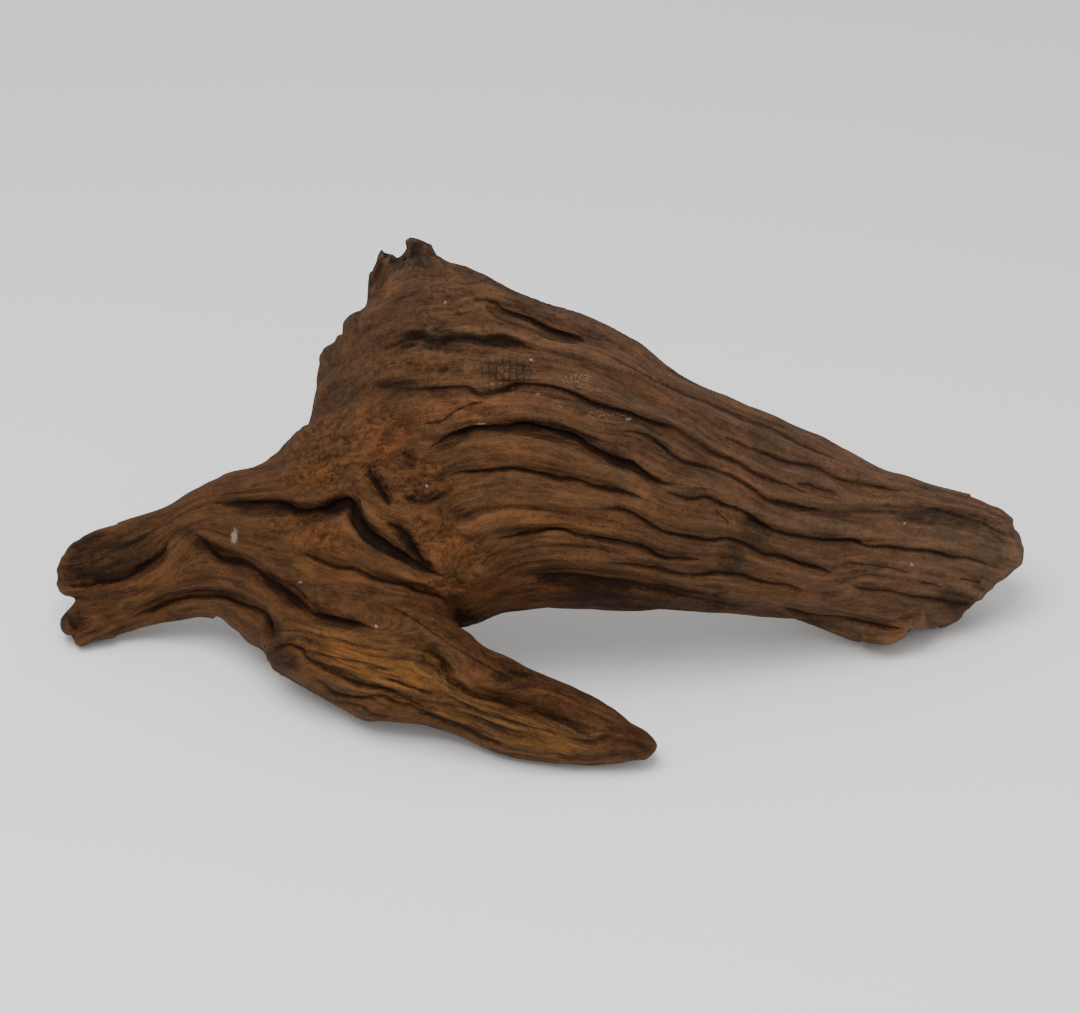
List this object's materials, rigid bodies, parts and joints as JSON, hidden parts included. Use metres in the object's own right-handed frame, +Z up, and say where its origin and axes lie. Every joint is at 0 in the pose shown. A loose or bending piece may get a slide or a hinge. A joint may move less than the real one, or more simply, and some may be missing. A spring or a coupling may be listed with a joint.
{
  "type": "river driftwood root",
  "caption": "Weathered, deeply fluted root of river driftwood with a broken peak, a low branch and a tapering front limb, resting on three low points.",
  "frame": {"origin": "centre of the bounding box at the level of the surface the root rests on", "axes": "+X along the root's length towards its blunt right end, +Z up, and the broad fluted face looks towards -Y and up"},
  "size_m": [0.4011, 0.1584, 0.1612],
  "materials": {
    "weathered_wood": "dry, dark brown weathered root wood, matt, with darker grooves and paler worn ridges"
  },
  "bodies": {
    "root": {"driftwood_root": "weathered_wood"}
  },
  "joints": []
}
